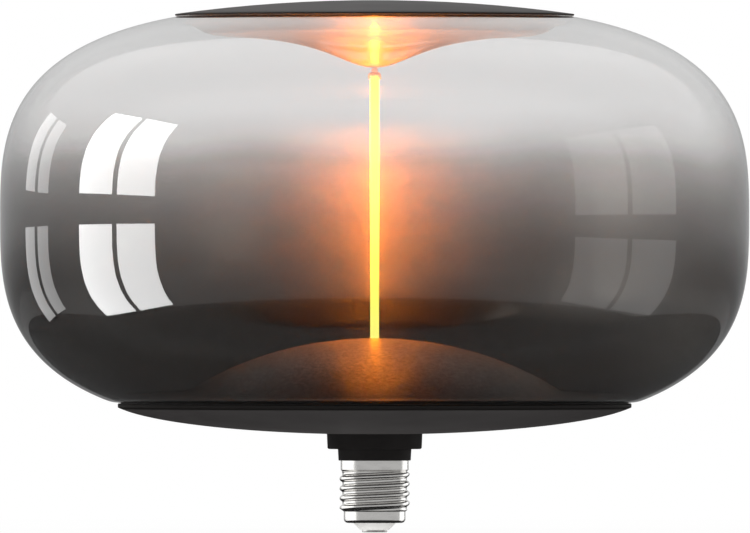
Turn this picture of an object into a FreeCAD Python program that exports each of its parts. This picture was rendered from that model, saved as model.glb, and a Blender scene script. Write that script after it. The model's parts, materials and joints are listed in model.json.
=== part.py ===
import FreeCAD
import Part
import math
import os

# Large smoked glass filament bulb on an E27 screw cap, standing cap down.
# All sizes are in millimetres. The origin is the centre of the flat face of
# the end contact, and +Z runs up the axis of the bulb.

Vector = FreeCAD.Vector
UP = Vector(0, 0, 1)

# Screw cap: the E27 knuckle thread, right-handed, rolled in thin sheet
thread_pitch = 3.629
thread_crest_r = 13.1
knuckle_r = 1.025
shell_wall = 0.35
shell_band_r = 11.52
shell_skirt_r = 12.7
shell_lip_r = 8.1
shell_lip_round = 1.5
shell_foot_z = 3.5
thread_low_z = 7.5
thread_high_z = 23.4
shell_top_z = 26.8
first_crest_z = 3.64
thread_fade = 1.6
root_lift = 0.05
flank_lift = 0.02
root_bury = 0.3

# End contact and the cone that insulates it
contact_r = 4.7
contact_thick = 0.9
contact_round = 0.35
rivet_r = 1.6
rivet_head_r = 2.4
rivet_head_thick = 0.4
rivet_clearance = 0.08
insulator_foot_r = 5.4
insulator_throat_r = 8.0
insulator_flange_r = 10.8
insulator_flange_thick = 1.7
insulator_chamfer = 1.2

# Collar between the screw cap and the dish
collar_neck_r = 13.5
collar_neck_height = 4.3
collar_flange_r = 17.85
collar_flange_height = 5.64
collar_draft = 0.25
collar_round = 0.7
collar_bore_r = 9.5
sleeve_length = 3.3
sleeve_clearance = 0.1
spigot_r = 12.0
spigot_stand = 0.8
spigot_clearance = 0.2

# Dish under the glass
dish_curve_margin = 4.0
dish_curve_depth = 14.0
dish_wall = 2.0
dish_rim_inset = 2.0
dish_rim_rise = 11.4
dish_rim_width = 1.0
dish_edge_round = 0.4
seal_width = 4.6
seal_thick = 1.2
seal_proud = 0.3
seal_clearance = 0.1
ledge_margin = 0.6

# Blown glass: barrel, funnel sunk in its top, dome pushed up in its bottom.
# The glass is as high as the filament, the gap and the funnel need.
glass_r = 140.0
glass_wall = 1.5
glass_foot_r = 98.0
barrel_power = 3.0
crown_r = 72.0
crown_flat = 0.4
funnel_depth = 16.2
funnel_spread = 21.5
funnel_share = 0.84
funnel_lip_width = 11.0
dome_rise = 21.6
dome_curve_r = 131.5
heel_round = 15.0
dome_foot_round = 4.0

# Cover on the crown of the glass
cover_overhang = 2.6
cover_rise = 6.2
cover_curve_r = 540.0
cover_wall = 1.6
cover_flange_width = 8.6
cover_edge_round = 0.3
bond_thick = 0.4
bond_clearance = 0.05
bond_inset = 0.6
bond_width = 4.2

# Filament, held upright by a magnet across a small gap
filament_r = 1.65
filament_length = 100.1
tip_cap_r = 2.45
tip_cap_skirt = 1.1
tip_cap_top = 1.0
pellet_r = 1.6
pellet_thick = 0.6
pellet_clearance = 0.05
magnet_gap = 1.7
magnet_r = 3.2
magnet_length = 8.0
magnet_clearance = 0.3
bed_r = 4.8
bed_thick = 1.2

# Stem in the dome, with the two wires that feed the filament
stem_plug_r = 4.0
stem_clearance = 0.05
stem_flange_r = 6.5
stem_flange_thick = 2.0
stem_pinch_r = 3.4
stem_pinch_length = 8.0
exhaust_r = 0.9
exhaust_offset = 2.2
exhaust_length = 5.0
lead_r = 0.25
lead_spacing = 2.0
lead_clearance = 0.03
lead_grip = 2.0

# Driver board on three bosses of the dish
board_r = 31.0
board_thick = 1.6
board_lift = 5.5
boss_count = 3
boss_inset = 7.0
boss_r = 3.0
screw_r = 1.1
screw_head_r = 2.2
screw_head_height = 1.6
screw_head_round = 0.7
screw_slot_width = 0.6
screw_slot_depth = 0.7
screw_bite = 3.6
screw_clearance = 0.05
hole_clearance = 0.15
supply_wire_r = 0.6
shell_wire_inset = 0.7
shell_wire_bend = 1.5
wire_gap = 0.15

# Parts on the board: place in plan, then size
bulk_capacitor_at = (-15.0, 6.0)
bulk_capacitor_r = 5.0
bulk_capacitor_height = 13.0
bulk_capacitor_groove = 0.5
film_capacitor_at = (14.0, -4.0)
film_capacitor_size = (7.0, 13.0, 11.0)
film_capacitor_round = 0.8
choke_at = (0.0, -17.0)
choke_r = 5.5
choke_height = 11.0
choke_flange = 1.6
choke_waist_r = 2.6
winding_inset = 0.5
rectifier_at = (15.5, 9.5)
rectifier_size = (8.4, 6.4, 2.4)
chip_at = (-11.0, -8.0)
chip_size = (5.0, 4.0, 1.5)
leg_width = 0.5
leg_reach = 1.1
leg_thick = 0.25
resistor_at = (0.0, 14.0)
resistor_r = 1.6
resistor_waist_r = 1.35
resistor_length = 9.0
resistor_lead_r = 0.3
resistor_lead_reach = 1.8

# Sizes and heights that follow from the ones above
dish_rim_r = glass_foot_r - dish_rim_inset
dish_curve_r = dish_rim_r + dish_curve_margin
cover_r = crown_r + cover_overhang
boss_circle_r = board_r - boss_inset
collar_screw_circle_r = (spigot_r + collar_flange_r) / 2
shell_wire_r = collar_bore_r - supply_wire_r - shell_wire_inset
thread_depth = 2 * knuckle_r - math.sqrt(4 * knuckle_r**2 - (thread_pitch / 2) ** 2)
thread_root_r = thread_crest_r - thread_depth
insulator_seat_z = shell_foot_z + shell_wall
insulator_top_z = insulator_seat_z + insulator_flange_thick
rivet_top_z = insulator_top_z + rivet_head_thick
collar_step_z = shell_top_z + collar_neck_height
collar_top_z = collar_step_z + collar_flange_height
collar_share = math.sqrt(1 - (collar_flange_r / dish_curve_r) ** 2)
dish_curve_z = collar_top_z + dish_curve_depth * collar_share
dish_rim_z = collar_top_z + dish_rim_rise
glass_seat_z = dish_rim_z + seal_proud
ledge_z = glass_seat_z - seal_thick
ledge_outer_r = dish_rim_r - dish_rim_width
ledge_inner_r = ledge_outer_r - seal_width - ledge_margin
dish_floor_z = dish_curve_z - (dish_curve_depth - dish_wall)
board_z = dish_floor_z + board_lift
board_top_z = board_z + board_thick
dome_air_z = glass_seat_z + dome_rise
dome_gas_z = dome_air_z + glass_wall
filament_top_z = dome_gas_z + filament_length
tip_cap_foot_z = filament_top_z - tip_cap_skirt
tip_cap_top_z = filament_top_z + pellet_thick + tip_cap_top
funnel_gas_z = tip_cap_top_z + magnet_gap
crown_z = funnel_gas_z + glass_wall + funnel_depth
crown_share = (1 - (crown_r / glass_r) ** barrel_power) ** (1 / barrel_power)
foot_share = (1 - (glass_foot_r / glass_r) ** barrel_power) ** (1 / barrel_power)
barrel_half_height = (crown_z + crown_flat - glass_seat_z) / (crown_share + foot_share)
equator_z = glass_seat_z + barrel_half_height * foot_share


def point(r, z):
    return Vector(r, 0, z)


def line(start, end):
    return Part.LineSegment(point(*start), point(*end)).toShape()


def arc(start, middle, end):
    return Part.Arc(point(*start), point(*middle), point(*end)).toShape()


def smooth(points):
    curve = Part.BSplineCurve()
    curve.interpolate([point(*place) for place in points])
    return curve.toShape()


def turn(edges):
    """Solid of revolution about the Z axis from the edges of one closed outline."""
    outline = Part.Wire(Part.sortEdges(edges)[0])
    return Part.Face(outline).revolve(Vector(0, 0, 0), UP, 360)


def cornered(corners):
    """Edges of a closed outline through (r, z) corners, rounded where a corner has a third value."""
    count = len(corners)
    ends = []
    edges = []
    for index, corner in enumerate(corners):
        here = point(corner[0], corner[1])
        radius = corner[2] if len(corner) > 2 else 0.0
        if not radius:
            ends.append((here, here))
            continue
        back = point(*corners[index - 1][:2]) - here
        ahead = point(*corners[(index + 1) % count][:2]) - here
        back.normalize()
        ahead.normalize()
        half = back.getAngle(ahead) / 2
        middle = back + ahead
        middle.normalize()
        start = here + back * (radius / math.tan(half))
        end = here + ahead * (radius / math.tan(half))
        crest = here + middle * (radius / math.sin(half) - radius)
        edges.append(Part.Arc(start, crest, end).toShape())
        ends.append((start, end))
    for index, (start, _) in enumerate(ends):
        before = ends[index - 1][1]
        if before.distanceToPoint(start) > 1e-6:
            edges.append(Part.LineSegment(before, start).toShape())
    return edges


def turned(corners):
    return turn(cornered(corners))


def disc(radius, low_z, high_z, x=0.0, y=0.0):
    return Part.makeCylinder(radius, high_z - low_z, Vector(x, y, low_z))


def block(at, size, low_z):
    corner = Vector(at[0] - size[0] / 2, at[1] - size[1] / 2, low_z)
    return Part.makeBox(size[0], size[1], size[2], corner)


def around(count, circle_r, start_angle=90.0):
    """Places evenly spaced on a circle about the axis."""
    places = []
    for step in range(count):
        angle = math.radians(start_angle + 360.0 * step / count)
        places.append((circle_r * math.cos(angle), circle_r * math.sin(angle)))
    return places


def cap_z(r, apex_z, curve_r):
    """Height at radius r of a spherical dome that opens downwards."""
    return apex_z - curve_r + math.sqrt(curve_r**2 - r**2)


def cap_foot_r(drop, curve_r):
    return math.sqrt(curve_r**2 - (curve_r - drop) ** 2)


# Screw cap


def knuckle_profile(depth):
    """One ridge of the knuckle thread, crest and both flanks, this far inside the outer face."""
    crest_round = knuckle_r - depth
    root_round = knuckle_r + depth
    crest_centre_r = thread_crest_r - knuckle_r
    root_centre_r = crest_centre_r + math.sqrt(4 * knuckle_r**2 - (thread_pitch / 2) ** 2)
    slope = math.acos(thread_pitch / 2 / (2 * knuckle_r))
    join = (crest_centre_r + crest_round * math.sin(slope), crest_round * math.cos(slope))
    foot_r = root_centre_r - root_round + flank_lift
    foot = thread_pitch / 2 - math.sqrt(2 * root_round * flank_lift - flank_lift**2)
    waist = (foot + join[1]) / 2
    waist_r = root_centre_r - math.sqrt(root_round**2 - (thread_pitch / 2 - waist) ** 2)
    buried_r = foot_r - root_bury
    return Part.Wire(
        [
            arc((foot_r, -foot), (waist_r, -waist), (join[0], -join[1])),
            arc((join[0], -join[1]), (thread_crest_r - depth, 0), join),
            arc(join, (waist_r, waist), (foot_r, foot)),
            line((foot_r, foot), (buried_r, foot)),
            line((buried_r, foot), (buried_r, -foot)),
            line((buried_r, -foot), (foot_r, -foot)),
        ]
    )


def thread_ridge(depth):
    """The ridge swept along its helix, this far inside the outer face, faded out at both ends."""
    rise = thread_high_z - first_crest_z + thread_pitch
    helix = Part.Wire(Part.makeHelix(thread_pitch, rise, thread_crest_r))
    ridge = helix.makePipeShell([knuckle_profile(depth)], True, True)
    ridge.translate(Vector(0, 0, first_crest_z))
    low_z = thread_low_z + depth
    high_z = thread_high_z - depth
    low_r = shell_band_r - depth - root_bury
    high_r = thread_crest_r + root_bury - depth
    limit = turned(
        [
            (0, low_z),
            (low_r, low_z),
            (high_r, low_z + thread_fade),
            (high_r, high_z - thread_fade),
            (low_r, high_z),
            (0, high_z),
        ]
    )
    return ridge.common(limit)


def cap_core(depth, foot):
    """Body of the screw shell without its ridge, this far inside the outer face."""
    band_r = shell_band_r - depth
    root_r = thread_root_r + root_lift - depth
    skirt_r = shell_skirt_r - depth
    root_step = thread_root_r - shell_band_r
    skirt_step = shell_skirt_r - thread_root_r
    top_z = shell_top_z + foot
    outline = [
        (band_r, shell_foot_z + depth, shell_lip_round - depth),
        (band_r, thread_low_z + root_step / 2),
        (root_r, thread_low_z + 3 * root_step / 2),
        (root_r, thread_high_z - skirt_step),
        (skirt_r, thread_high_z),
        (skirt_r, top_z),
        (0, top_z),
    ]
    return turned([(0, shell_foot_z + depth)] + outline)


def make_screw_shell():
    outside = cap_core(0, 0).fuse(thread_ridge(0))
    inside = cap_core(shell_wall, shell_wall).fuse(thread_ridge(shell_wall))
    mouth = disc(shell_lip_r, 0, insulator_top_z)
    return outside.cut(inside.fuse(mouth))


def make_cap_insulator():
    throat_r = insulator_throat_r
    body = turned(
        [
            (rivet_r + rivet_clearance, contact_thick),
            (insulator_foot_r, contact_thick),
            (throat_r, shell_foot_z),
            (throat_r, insulator_seat_z),
            (insulator_flange_r - insulator_chamfer, insulator_seat_z),
            (insulator_flange_r, insulator_seat_z + insulator_chamfer),
            (insulator_flange_r, insulator_top_z),
            (rivet_r + rivet_clearance, insulator_top_z),
        ]
    )
    return body


def make_centre_contact():
    return turned(
        [
            (0, 0),
            (contact_r, 0, contact_round),
            (contact_r, contact_thick),
            (rivet_r, contact_thick),
            (rivet_r, insulator_top_z),
            (rivet_head_r, insulator_top_z),
            (rivet_head_r, rivet_top_z),
            (0, rivet_top_z),
        ]
    )


# Collar and dish


def collar_screw_places():
    return around(boss_count, collar_screw_circle_r)


def make_collar():
    sleeve_r = shell_skirt_r - shell_wall - sleeve_clearance
    spigot_z = dish_floor_z + spigot_stand
    body = turned(
        [
            (collar_bore_r, shell_top_z - sleeve_length),
            (sleeve_r, shell_top_z - sleeve_length),
            (sleeve_r, shell_top_z),
            (collar_neck_r, shell_top_z, collar_draft),
            (collar_neck_r + collar_draft, collar_step_z),
            (collar_flange_r - collar_draft, collar_step_z, collar_round),
            (collar_flange_r, collar_top_z),
            (spigot_r, collar_top_z),
            (spigot_r, spigot_z),
            (collar_bore_r, spigot_z),
        ]
    )
    for x, y in collar_screw_places():
        depth = screw_bite + hole_clearance
        body = body.cut(disc(screw_r + screw_clearance, collar_top_z - depth, dish_floor_z, x, y))
    return body


def dish_z(r, depth):
    """Height of the curved face of the dish, this far inside its underside."""
    across = r / (dish_curve_r - depth)
    return dish_curve_z - (dish_curve_depth - depth) * math.sqrt(1 - across**2)


def dish_curve(start_r, end_r, depth, steps=12):
    places = []
    for step in range(steps + 1):
        r = start_r + (end_r - start_r) * step / steps
        places.append((r, dish_z(r, depth)))
    return smooth(places)


def make_bottom_dish():
    hole_r = spigot_r + spigot_clearance
    edge_z = dish_z(dish_rim_r, 0)
    floor_end_z = dish_z(ledge_inner_r, dish_wall)
    body = turn(
        [
            dish_curve(hole_r, dish_rim_r, 0),
            line((dish_rim_r, edge_z), (dish_rim_r, dish_rim_z)),
            line((dish_rim_r, dish_rim_z), (ledge_outer_r, dish_rim_z)),
            line((ledge_outer_r, dish_rim_z), (ledge_outer_r, ledge_z)),
            line((ledge_outer_r, ledge_z), (ledge_inner_r, ledge_z)),
            line((ledge_inner_r, ledge_z), (ledge_inner_r, floor_end_z)),
            dish_curve(hole_r, ledge_inner_r, dish_wall),
            line((hole_r, dish_z(hole_r, dish_wall)), (hole_r, dish_z(hole_r, 0))),
        ]
    )
    spotface = disc(collar_flange_r + spigot_clearance, dish_curve_z - 2 * dish_curve_depth, collar_top_z)
    body = body.cut(spotface)
    edges = [edge for edge in body.Edges if is_ring(edge, dish_rim_r)]
    body = body.makeFillet(dish_edge_round, edges)
    for x, y in around(boss_count, boss_circle_r):
        boss = disc(boss_r, dish_z(boss_circle_r, dish_wall / 2), board_z, x, y)
        body = body.fuse(boss)
    for x, y in around(boss_count, boss_circle_r):
        body = body.cut(disc(screw_r + screw_clearance, board_z - screw_bite - hole_clearance, board_z, x, y))
    for x, y in collar_screw_places():
        body = body.cut(disc(screw_r + hole_clearance, collar_top_z, board_z, x, y))
        body = body.cut(disc(screw_head_r + hole_clearance, screw_seat_z(), board_z, x, y))
    return body


def is_ring(edge, radius):
    """Whether this edge is a level circle of this radius about the axis."""
    box = edge.BoundBox
    return box.ZLength < 0.01 and abs(box.XMax - radius) < 0.01 and abs(box.XMin + radius) < 0.01


def screw_seat_z():
    """Flat under the heads of the collar screws, where the inside of the dish is lowest below them."""
    return dish_z(collar_screw_circle_r - screw_head_r - hole_clearance, dish_wall)


def make_dish_seal():
    outer_r = ledge_outer_r - seal_clearance
    return turned(
        [
            (outer_r - seal_width, ledge_z),
            (outer_r, ledge_z),
            (outer_r, glass_seat_z),
            (outer_r - seal_width, glass_seat_z),
        ]
    )


# Glass globe, filament and magnet


def barrel_z(r, depth):
    across = r / (glass_r - depth)
    return equator_z + (barrel_half_height - depth) * (1 - across**barrel_power) ** (1 / barrel_power)


def barrel_foot_r(depth):
    down = (equator_z - glass_seat_z - depth) / (barrel_half_height - depth)
    return (glass_r - depth) * (1 - down**barrel_power) ** (1 / barrel_power)


def barrel_point(angle, depth):
    """Point of the rounded barrel at an angle above its equator."""
    across = abs(math.cos(angle)) / (glass_r - depth)
    upward = abs(math.sin(angle)) / (barrel_half_height - depth)
    reach = (across**barrel_power + upward**barrel_power) ** (-1 / barrel_power)
    return reach * math.cos(angle), equator_z + reach * math.sin(angle)


def funnel_dip(r):
    """Share of the funnel's height reached at radius r: blunt tip, steep flank, flat shoulder."""
    return (r / funnel_spread) ** 2 / (1 + (r / funnel_spread) ** 2)


def funnel_z(r, depth):
    """Height of the funnel, this far inside its open face, up to the crown."""
    flank = funnel_depth * funnel_share
    lip_rise = funnel_depth - flank * funnel_dip(crown_r)
    share = min(max((r - crown_r + funnel_lip_width) / funnel_lip_width, 0), 1)
    lip = lip_rise * share**2 * (3 - 2 * share)
    return funnel_gas_z + flank * funnel_dip(r) + lip + glass_wall - depth


def globe_outline(depth):
    """Upper and outer face of the globe, from the funnel tip to the heel, this far inside the glass."""
    funnel_steps = 14
    lip_steps = 4
    barrel_steps = 22
    places = []
    shoulder_r = crown_r - funnel_lip_width
    for step in range(funnel_steps):
        r = shoulder_r * step / funnel_steps
        places.append((r, funnel_z(r, depth)))
    for step in range(lip_steps + 1):
        r = shoulder_r + funnel_lip_width * step / lip_steps
        places.append((r, funnel_z(r, depth)))
    join_r = crown_r + funnel_lip_width / 2
    foot_r = barrel_foot_r(depth)
    top_angle = math.atan2(barrel_z(join_r, depth) - equator_z, join_r)
    foot_angle = math.atan2(glass_seat_z + depth - equator_z, foot_r)
    for step in range(barrel_steps + 1):
        angle = top_angle + (foot_angle - top_angle) * step / barrel_steps
        places.append(barrel_point(angle, depth))
    return places


def globe_envelope(depth):
    """Solid inside the face that lies this deep in the glass, with rounded heel and dome foot."""
    outline = globe_outline(depth)
    seat_z = glass_seat_z + depth
    apex_z = dome_air_z + depth
    curve_r = dome_curve_r + depth
    dome_foot_r = cap_foot_r(apex_z - seat_z, curve_r)
    half_r = dome_foot_r / 2
    heel_r = outline[-1][0]
    body = turn(
        [
            smooth(outline),
            line(outline[-1], (dome_foot_r, seat_z)),
            arc((dome_foot_r, seat_z), (half_r, cap_z(half_r, apex_z, curve_r)), (0, apex_z)),
            line((0, apex_z), outline[0]),
        ]
    )
    heel = [edge for edge in body.Edges if is_ring(edge, heel_r)]
    body = body.makeFillet(heel_round, heel)
    foot = [edge for edge in body.Edges if is_ring(edge, dome_foot_r)]
    return body.makeFillet(dome_foot_round, foot)


def make_glass_globe():
    glass = globe_envelope(0).cut(globe_envelope(glass_wall))
    hole = disc(stem_plug_r, dome_air_z - glass_wall, dome_gas_z + glass_wall)
    return glass.cut(hole)


def make_top_cover():
    foot_z = crown_z + bond_thick
    apex_z = crown_z + cover_rise
    edge_z = cap_z(cover_r, apex_z, cover_curve_r)
    flange_r = cover_r - cover_flange_width
    inside_z = apex_z - cover_wall
    inside_r = cover_curve_r - cover_wall
    body = turn(
        [
            line((0, inside_z), (0, apex_z)),
            arc((0, apex_z), (cover_r / 2, cap_z(cover_r / 2, apex_z, cover_curve_r)), (cover_r, edge_z)),
            line((cover_r, edge_z), (cover_r, foot_z)),
            line((cover_r, foot_z), (flange_r, foot_z)),
            line((flange_r, foot_z), (flange_r, cap_z(flange_r, inside_z, inside_r))),
            arc(
                (flange_r, cap_z(flange_r, inside_z, inside_r)),
                (flange_r / 2, cap_z(flange_r / 2, inside_z, inside_r)),
                (0, inside_z),
            ),
        ]
    )
    rim = [edge for edge in body.Edges if is_ring(edge, cover_r)]
    return body.makeFillet(cover_edge_round, rim)


def make_cover_bond():
    outer_r = cover_r - bond_inset
    low_z = crown_z + bond_clearance
    ring = disc(outer_r, low_z, crown_z + bond_thick)
    return ring.cut(disc(outer_r - bond_width, low_z, crown_z + bond_thick))


def magnet_foot_z():
    return funnel_z(magnet_r, 0) + magnet_clearance


def make_lift_magnet():
    return disc(magnet_r, magnet_foot_z(), magnet_foot_z() + magnet_length)


def make_magnet_bed():
    pool = disc(bed_r, funnel_gas_z, magnet_foot_z() + bed_thick)
    return pool.cut(globe_envelope(-bond_clearance)).cut(make_lift_magnet())


def lead_places():
    return [(-lead_spacing / 2, 0.0), (lead_spacing / 2, 0.0)]


def make_filament():
    body = disc(filament_r, dome_gas_z, filament_top_z)
    for x, y in lead_places():
        socket = disc(lead_r + lead_clearance, dome_gas_z, dome_gas_z + lead_grip + lead_clearance, x, y)
        body = body.cut(socket)
    return body


def make_filament_tip_cap():
    pocket_r = filament_r + pellet_clearance
    pocket_z = filament_top_z + pellet_thick
    return turned(
        [
            (pocket_r, tip_cap_foot_z),
            (tip_cap_r, tip_cap_foot_z),
            (tip_cap_r, tip_cap_top_z, tip_cap_r * 0.6),
            (0, tip_cap_top_z),
            (0, pocket_z),
            (pocket_r, pocket_z),
        ]
    )


def make_tip_pellet():
    return disc(pellet_r, filament_top_z, filament_top_z + pellet_thick)


def make_glass_stem():
    flange_top_z = cap_z(stem_flange_r, dome_air_z, dome_curve_r) - stem_clearance
    flange_foot_z = flange_top_z - stem_flange_thick
    pinch_foot_z = flange_foot_z - stem_pinch_length
    plug_r = stem_plug_r - stem_clearance
    body = turned(
        [
            (0, pinch_foot_z),
            (stem_pinch_r, pinch_foot_z, stem_pinch_r / 3),
            (stem_pinch_r, flange_foot_z),
            (stem_flange_r, flange_foot_z, stem_flange_thick / 3),
            (stem_flange_r, flange_top_z),
            (plug_r, flange_top_z),
            (plug_r, dome_gas_z),
            (0, dome_gas_z),
        ]
    )
    nib_foot_z = pinch_foot_z - exhaust_length
    nib = disc(exhaust_r, nib_foot_z, pinch_foot_z + stem_pinch_length / 2, 0, exhaust_offset)
    tip = Part.makeSphere(exhaust_r, Vector(0, exhaust_offset, nib_foot_z))
    body = body.fuse(nib).fuse(tip)
    for x, y in lead_places():
        body = body.cut(disc(lead_r + lead_clearance, pinch_foot_z, dome_gas_z, x, y))
    return body


def make_lead_in_wire(side):
    x, y = lead_places()[side]
    return disc(lead_r, board_top_z, dome_gas_z + lead_grip, x, y)


# Supply wires, driver board and what it carries


def make_contact_wire():
    return disc(supply_wire_r, rivet_top_z, board_z)


def make_shell_wire():
    """From the wall of the screw shell, under the sleeve of the collar, up to the board."""
    wall_r = thread_root_r + root_lift - shell_wall - wire_gap
    low_z = shell_top_z - sleeve_length - supply_wire_r - wire_gap
    bend = shell_wire_bend
    corner = 1 - math.sqrt(0.5)
    path = Part.Wire(
        [
            line((-wall_r, low_z), (-shell_wire_r - bend, low_z)),
            arc(
                (-shell_wire_r - bend, low_z),
                (-shell_wire_r - bend * corner, low_z + bend * corner),
                (-shell_wire_r, low_z + bend),
            ),
            line((-shell_wire_r, low_z + bend), (-shell_wire_r, board_z)),
        ]
    )
    start = Vector(-wall_r, 0, low_z)
    section = Part.Wire(Part.makeCircle(supply_wire_r, start, Vector(1, 0, 0)))
    return path.makePipeShell([section], True, True)


def make_screw(x, y, seat_z, length):
    """Pan head screw standing on its seat."""
    head_z = seat_z + screw_head_height
    body = turned(
        [
            (0, seat_z - length),
            (screw_r, seat_z - length, screw_r / 2),
            (screw_r, seat_z),
            (screw_head_r, seat_z),
            (screw_head_r, head_z, screw_head_round),
            (0, head_z),
        ]
    )
    slot = block((0, 0), (2 * screw_head_r, screw_slot_width, screw_slot_depth), head_z - screw_slot_depth)
    cross = block((0, 0), (screw_slot_width, 2 * screw_head_r, screw_slot_depth), head_z - screw_slot_depth)
    drive = slot.fuse(cross).common(disc(screw_head_r * 0.6, seat_z, head_z))
    body = body.cut(drive)
    body.translate(Vector(x, y, 0))
    return body


def make_collar_screws():
    length = screw_seat_z() - collar_top_z + screw_bite
    return Part.makeCompound([make_screw(x, y, screw_seat_z(), length) for x, y in collar_screw_places()])


def make_board_screws():
    length = board_thick + screw_bite
    places = around(boss_count, boss_circle_r)
    return Part.makeCompound([make_screw(x, y, board_top_z, length) for x, y in places])


def make_driver_board():
    board = disc(board_r, board_z, board_top_z)
    for x, y in around(boss_count, boss_circle_r):
        board = board.cut(disc(screw_r + hole_clearance, board_z, board_top_z, x, y))
    return board


def make_bulk_capacitor():
    r = bulk_capacitor_r
    groove = bulk_capacitor_groove
    foot_z = board_top_z
    top_z = foot_z + bulk_capacitor_height
    can = turned(
        [
            (0, foot_z),
            (r - groove, foot_z),
            (r, foot_z + groove),
            (r, foot_z + 3 * groove),
            (r - groove, foot_z + 4 * groove),
            (r, foot_z + 5 * groove),
            (r, top_z, groove),
            (0, top_z),
        ]
    )
    can.translate(Vector(bulk_capacitor_at[0], bulk_capacitor_at[1], 0))
    return can


def make_film_capacitor():
    body = block(film_capacitor_at, film_capacitor_size, board_top_z)
    top_z = board_top_z + film_capacitor_size[2]
    edges = [edge for edge in body.Edges if edge.BoundBox.ZMax > top_z - film_capacitor_round]
    return body.makeFillet(film_capacitor_round, edges)


def make_choke_core():
    foot_z = board_top_z
    top_z = foot_z + choke_height
    core = turned(
        [
            (0, foot_z),
            (choke_r, foot_z),
            (choke_r, foot_z + choke_flange),
            (choke_waist_r, foot_z + choke_flange),
            (choke_waist_r, top_z - choke_flange),
            (choke_r, top_z - choke_flange),
            (choke_r, top_z),
            (0, top_z),
        ]
    )
    core.translate(Vector(choke_at[0], choke_at[1], 0))
    return core


def make_choke_winding():
    low_z = board_top_z + choke_flange
    high_z = board_top_z + choke_height - choke_flange
    outer = disc(choke_r - winding_inset, low_z, high_z, *choke_at)
    return outer.cut(disc(choke_waist_r, low_z, high_z, *choke_at))


def legged(at, size, per_side, spread):
    """Moulded body with bent legs along both long sides, standing on the board."""
    lift = leg_thick
    body = block(at, size, board_top_z + lift)
    half = size[1] / 2
    for index in range(per_side):
        x = at[0] + spread * (index - (per_side - 1) / 2)
        for side in (-1, 1):
            shoulder = (x, at[1] + side * (half + leg_reach / 4))
            foot = (x, at[1] + side * (half + leg_reach / 2 + leg_thick / 2))
            upright_z = board_top_z + size[2] / 2
            upright = block(shoulder, (leg_width, leg_reach / 2, leg_thick), upright_z)
            drop = block((x, at[1] + side * (half + leg_reach / 2)), (leg_width, leg_thick, size[2] / 2), board_top_z)
            toe = block(foot, (leg_width, leg_reach / 2, leg_thick), board_top_z)
            cap = block((x, at[1] + side * (half + leg_reach / 2)), (leg_width, leg_thick, leg_thick), upright_z)
            body = body.fuse(upright).fuse(drop).fuse(toe).fuse(cap)
    return body.removeSplitter()


def make_bridge_rectifier():
    return legged(rectifier_at, rectifier_size, 2, 5.1)


def make_driver_chip():
    return legged(chip_at, chip_size, 4, 1.27)


def make_fusible_resistor():
    """Resistor lying over the board on its two bent leads."""
    x, y = resistor_at
    axis_z = board_top_z + resistor_r + hole_clearance
    half = resistor_length / 2
    bulge = resistor_length / 5
    body = turned(
        [
            (0, -half),
            (resistor_r, -half, resistor_r / 3),
            (resistor_r, bulge - half),
            (resistor_waist_r, bulge * 1.3 - half),
            (resistor_waist_r, half - bulge * 1.3),
            (resistor_r, half - bulge),
            (resistor_r, half, resistor_r / 3),
            (0, half),
        ]
    )
    body.rotate(Vector(0, 0, 0), Vector(0, 1, 0), 90)
    body.translate(Vector(x, y, axis_z))
    for side in (-1, 1):
        knee = x + side * (half + resistor_lead_reach)
        run = Part.makeCylinder(resistor_lead_r, resistor_lead_reach + 0.2, Vector(knee, y, axis_z), Vector(-side, 0, 0))
        bend = Part.makeSphere(resistor_lead_r, Vector(knee, y, axis_z))
        body = body.fuse(run).fuse(bend).fuse(disc(resistor_lead_r, board_top_z, axis_z, knee, y))
    return body


PIECES = {
    "screw_shell": make_screw_shell,
    "cap_insulator": make_cap_insulator,
    "centre_contact": make_centre_contact,
    "collar": make_collar,
    "collar_screws": make_collar_screws,
    "bottom_dish": make_bottom_dish,
    "dish_seal": make_dish_seal,
    "glass_globe": make_glass_globe,
    "top_cover": make_top_cover,
    "cover_bond": make_cover_bond,
    "lift_magnet": make_lift_magnet,
    "magnet_bed": make_magnet_bed,
    "filament": make_filament,
    "filament_tip_cap": make_filament_tip_cap,
    "tip_pellet": make_tip_pellet,
    "glass_stem": make_glass_stem,
    "lead_in_wire_plus": lambda: make_lead_in_wire(1),
    "lead_in_wire_minus": lambda: make_lead_in_wire(0),
    "contact_wire": make_contact_wire,
    "shell_wire": make_shell_wire,
    "driver_board": make_driver_board,
    "board_screws": make_board_screws,
    "bridge_rectifier": make_bridge_rectifier,
    "bulk_capacitor": make_bulk_capacitor,
    "film_capacitor": make_film_capacitor,
    "choke_core": make_choke_core,
    "choke_winding": make_choke_winding,
    "driver_chip": make_driver_chip,
    "fusible_resistor": make_fusible_resistor,
}

os.makedirs("parts", exist_ok=True)
for name, make in PIECES.items():
    make().exportStep("parts/" + name + ".step")
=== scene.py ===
import json
import math

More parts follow.
